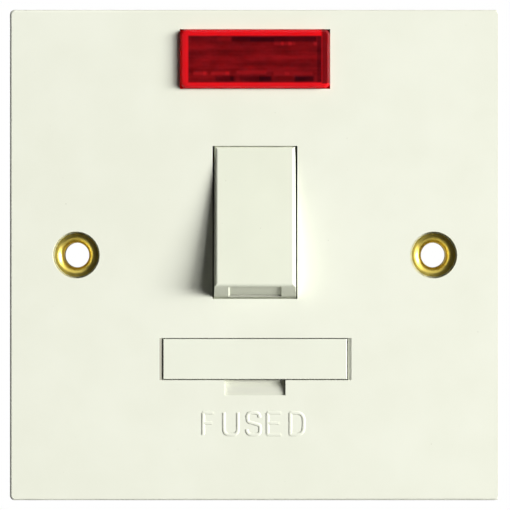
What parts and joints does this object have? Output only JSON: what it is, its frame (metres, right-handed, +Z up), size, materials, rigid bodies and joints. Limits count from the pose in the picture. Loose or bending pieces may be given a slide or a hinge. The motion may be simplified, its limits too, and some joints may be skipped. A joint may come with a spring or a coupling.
{
  "type": "fused spur unit",
  "caption": "Square moulded wall plate with a rocker switch, a red indicator lens and a pull-out fuse carrier, in front of a rear housing with brass terminals.",
  "frame": {"origin": "midway between the two fixing holes, in the plane of the wall, which is the back rim of the faceplate", "axes": "+Z up, -Y out of the wall towards the user, +X to the right as seen from the front"},
  "size_m": [0.083, 0.026, 0.083],
  "materials": {
    "ivory_moulding": "cream moulded plastic with a soft gloss",
    "carrier_moulding": "cream moulded plastic with a soft gloss",
    "rocker_moulding": "cream moulded plastic with a soft gloss",
    "rear_moulding": "off-white moulded plastic, matt",
    "red_lens": "clear red moulded plastic",
    "lamp_glass": "clear glass bulb",
    "tinned_wire": "tinned wire",
    "resistor_body": "buff lacquer",
    "eyelet_brass": "bright turned brass",
    "strip_brass": "stamped brass strip",
    "terminal_brass": "sawn and drilled brass",
    "screw_steel": "zinc plated steel",
    "contact_silver": "silver contact rivet",
    "fuse_ceramic": "unglazed ceramic",
    "fuse_cap_metal": "plated cap",
    "plunger_plastic": "smooth natural plastic",
    "spring_steel": "spring wire"
  },
  "bodies": {
    "housing": {"faceplate": "ivory_moulding", "back_housing": "rear_moulding", "neon_lens": "red_lens", "neon_lamp": "lamp_glass", "neon_lead_live": "tinned_wire", "neon_lead_neutral": "tinned_wire", "neon_resistor": "resistor_body", "eyelet_left": "eyelet_brass", "eyelet_right": "eyelet_brass", "earth_strap": "strip_brass", "live_supply_terminal": "terminal_brass", "live_supply_terminal_screw": "screw_steel", "neutral_supply_terminal": "terminal_brass", "neutral_supply_terminal_screw": "screw_steel", "neutral_load_terminal": "terminal_brass", "neutral_load_terminal_screw": "screw_steel", "live_load_terminal": "terminal_brass", "live_load_terminal_screw": "screw_steel", "earth_supply_terminal": "terminal_brass", "earth_supply_terminal_screw": "screw_steel", "earth_load_terminal": "terminal_brass", "earth_load_terminal_screw": "screw_steel", "housing_screw_1": "screw_steel", "housing_screw_2": "screw_steel", "housing_screw_3": "screw_steel", "housing_screw_4": "screw_steel", "live_supply_link": "strip_brass", "live_fixed_tip": "contact_silver", "neutral_supply_link": "strip_brass", "neutral_fixed_tip": "contact_silver", "live_outlet_link": "strip_brass", "neutral_outlet_link": "strip_brass", "live_load_link": "strip_brass", "fuse_clip_supply": "strip_brass", "fuse_clip_load": "strip_brass"},
    "switch_rocker": {"rocker": "rocker_moulding", "live_plunger": "plunger_plastic", "neutral_plunger": "plunger_plastic", "live_plunger_spring": "spring_steel", "neutral_plunger_spring": "spring_steel"},
    "live_arm": {"live_contact_arm": "strip_brass", "live_moving_tip": "contact_silver"},
    "neutral_arm": {"neutral_contact_arm": "strip_brass", "neutral_moving_tip": "contact_silver"},
    "fuse_drawer": {"fuse_carrier": "carrier_moulding", "fuse_barrel": "fuse_ceramic", "fuse_cap_left": "fuse_cap_metal", "fuse_cap_right": "fuse_cap_metal"}
  },
  "joints": [
    {"name": "rocker_hinge", "type": "hinge", "parent": "housing", "child": "switch_rocker", "pos_m": [0, -0.0034, 0.0055], "axis": [1, 0, 0], "range_deg": [0, 16]},
    {"name": "live_arm_hinge", "type": "hinge", "parent": "housing", "child": "live_arm", "pos_m": [-0.0034, 0.00615, 0.0055], "axis": [1, 0, 0], "range_deg": [-16, 0]},
    {"name": "neutral_arm_hinge", "type": "hinge", "parent": "housing", "child": "neutral_arm", "pos_m": [0.0034, 0.00615, 0.0055], "axis": [1, 0, 0], "range_deg": [-16, 0]},
    {"name": "fuse_carrier_slide", "type": "slide", "parent": "housing", "child": "fuse_drawer", "axis": [0, -1, 0], "range_m": [0, 0.0135]}
  ],
  "couplings": [
    {"joint": "live_arm_hinge", "follows": "rocker_hinge", "ratio": -1},
    {"joint": "neutral_arm_hinge", "follows": "rocker_hinge", "ratio": -1}
  ]
}
